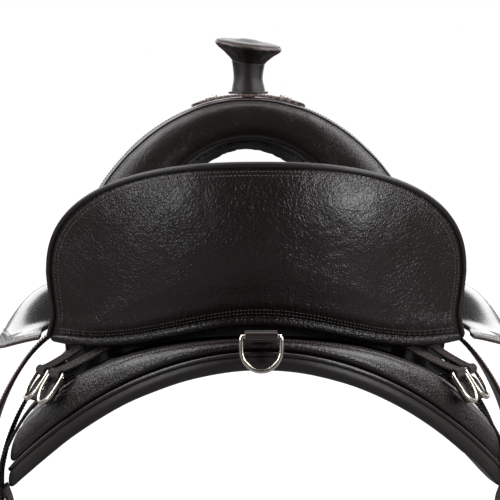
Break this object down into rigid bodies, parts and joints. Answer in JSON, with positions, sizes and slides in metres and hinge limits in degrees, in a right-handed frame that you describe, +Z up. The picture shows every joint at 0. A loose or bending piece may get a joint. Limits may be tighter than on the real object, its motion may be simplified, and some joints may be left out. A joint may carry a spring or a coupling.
{
  "type": "treeless saddle",
  "caption": "Treeless western saddle: padded base, dished seat with cantle, padded pommel arch with leather horn, jockeys, fenders, stirrups and D-rings.",
  "frame": {"origin": "on the horse's back, on the saddle's centre line, a quarter of a metre in front of the base pad's rear edge", "axes": "+Z up, +Y towards the horse's head, +X to the saddle's right side as seen from behind"},
  "size_m": [0.59, 0.6013, 0.9031],
  "materials": {
    "grain_leather": "pebble grain",
    "smooth_leather": "polished",
    "webbing": "ribbed weave",
    "nickel": "polished",
    "felt": "matt felt",
    "foam": "matt",
    "arch_plastic": "satin"
  },
  "bodies": {
    "saddle": {"base_pad": "smooth_leather", "skirt": "grain_leather", "panel_left": "felt", "panel_right": "felt", "cantle_back": "grain_leather", "cantle_rim": "smooth_leather", "cantle_core": "foam", "seat_foam": "foam", "ground_seat": "smooth_leather", "seat_cushion": "grain_leather", "pommel_roll": "grain_leather", "pommel_arch": "arch_plastic", "pommel_cover": "smooth_leather", "gullet_lining": "felt", "horn_collar": "smooth_leather", "horn_core": "nickel", "horn_neck": "smooth_leather", "horn_cap": "grain_leather", "rosette_left": "nickel", "rosette_right": "nickel", "jockey_left": "smooth_leather", "jockey_right": "smooth_leather", "stirrup_ring_left": "nickel", "stirrup_ring_right": "nickel", "ring_strap_left": "webbing", "ring_strap_right": "webbing", "rigging_strap_left": "webbing", "rigging_strap_right": "webbing", "side_strap_inner_left": "webbing", "side_strap_inner_right": "webbing", "side_strap_outer_left": "webbing", "side_strap_outer_right": "webbing", "strap_backing_left": "smooth_leather", "strap_backing_right": "smooth_leather", "centre_tab": "webbing", "front_strap_left": "webbing", "front_strap_right": "webbing"},
    "fender_left": {"fender_left": "smooth_leather", "stirrup_leather_left": "webbing", "leather_buckle_left": "nickel", "hobble_strap_left": "smooth_leather"},
    "fender_right": {"fender_right": "smooth_leather", "stirrup_leather_right": "webbing", "leather_buckle_right": "nickel", "hobble_strap_right": "smooth_leather"},
    "stirrup_left": {"stirrup_bow_left": "smooth_leather", "stirrup_tread_left": "felt", "stirrup_bolt_left": "nickel"},
    "stirrup_right": {"stirrup_bow_right": "smooth_leather", "stirrup_tread_right": "felt", "stirrup_bolt_right": "nickel"},
    "rigging_ring_left": {"rigging_ring_left": "nickel"},
    "rigging_ring_right": {"rigging_ring_right": "nickel"},
    "centre_dee": {"centre_dee": "nickel"},
    "side_dee_inner_left": {"side_dee_inner_left": "nickel"},
    "side_dee_inner_right": {"side_dee_inner_right": "nickel"},
    "side_dee_outer_left": {"side_dee_outer_left": "nickel"},
    "side_dee_outer_right": {"side_dee_outer_right": "nickel"},
    "front_dee_left": {"front_dee_left": "nickel"},
    "front_dee_right": {"front_dee_right": "nickel"}
  },
  "joints": [
    {"name": "fender_swing_left", "type": "hinge", "parent": "saddle", "child": "fender_left", "pos_m": [-0.153, 0.03, 0.015], "axis": [1, 0, 0], "range_deg": [-30, 35]},
    {"name": "fender_swing_right", "type": "hinge", "parent": "saddle", "child": "fender_right", "pos_m": [0.153, 0.03, 0.015], "axis": [1, 0, 0], "range_deg": [-30, 35]},
    {"name": "stirrup_tilt_left", "type": "hinge", "parent": "fender_left", "child": "stirrup_left", "pos_m": [-0.269, 0.03, -0.455], "axis": [0, 1, 0], "range_deg": [-45, 45]},
    {"name": "stirrup_tilt_right", "type": "hinge", "parent": "fender_right", "child": "stirrup_right", "pos_m": [0.269, 0.03, -0.455], "axis": [0, 1, 0], "range_deg": [-45, 45]},
    {"name": "girth_ring_swing_left", "type": "hinge", "parent": "saddle", "child": "rigging_ring_left", "pos_m": [-0.243, -0.085, -0.168], "axis": [0, 1, 0], "range_deg": [-45, 12]},
    {"name": "girth_ring_swing_right", "type": "hinge", "parent": "saddle", "child": "rigging_ring_right", "pos_m": [0.243, -0.085, -0.168], "axis": [0, 1, 0], "range_deg": [-12, 45]},
    {"name": "centre_dee_swing", "type": "hinge", "parent": "saddle", "child": "centre_dee", "pos_m": [0, -0.2795, 0.0315], "axis": [1, 0, 0], "range_deg": [-100, 5]},
    {"name": "side_dee_swing_inner_left", "type": "hinge", "parent": "saddle", "child": "side_dee_inner_left", "pos_m": [-0.187, -0.16869, -0.0155], "axis": [-0.5299, 0.848, 0], "range_deg": [0, 60]},
    {"name": "side_dee_swing_inner_right", "type": "hinge", "parent": "saddle", "child": "side_dee_inner_right", "pos_m": [0.187, -0.16869, -0.0155], "axis": [0.5299, 0.848, 0], "range_deg": [-60, 0]},
    {"name": "side_dee_swing_outer_left", "type": "hinge", "parent": "saddle", "child": "side_dee_outer_left", "pos_m": [-0.20154, -0.14245, -0.0155], "axis": [-0.4384, 0.8988, 0], "range_deg": [0, 60]},
    {"name": "side_dee_swing_outer_right", "type": "hinge", "parent": "saddle", "child": "side_dee_outer_right", "pos_m": [0.20154, -0.14245, -0.0155], "axis": [0.4384, 0.8988, 0], "range_deg": [-60, 0]},
    {"name": "front_dee_swing_left", "type": "hinge", "parent": "saddle", "child": "front_dee_left", "pos_m": [-0.118, 0.31219, 0.03183], "axis": [1, 0, 0], "range_deg": [-5, 100]},
    {"name": "front_dee_swing_right", "type": "hinge", "parent": "saddle", "child": "front_dee_right", "pos_m": [0.118, 0.31219, 0.03183], "axis": [1, 0, 0], "range_deg": [-5, 100]}
  ]
}
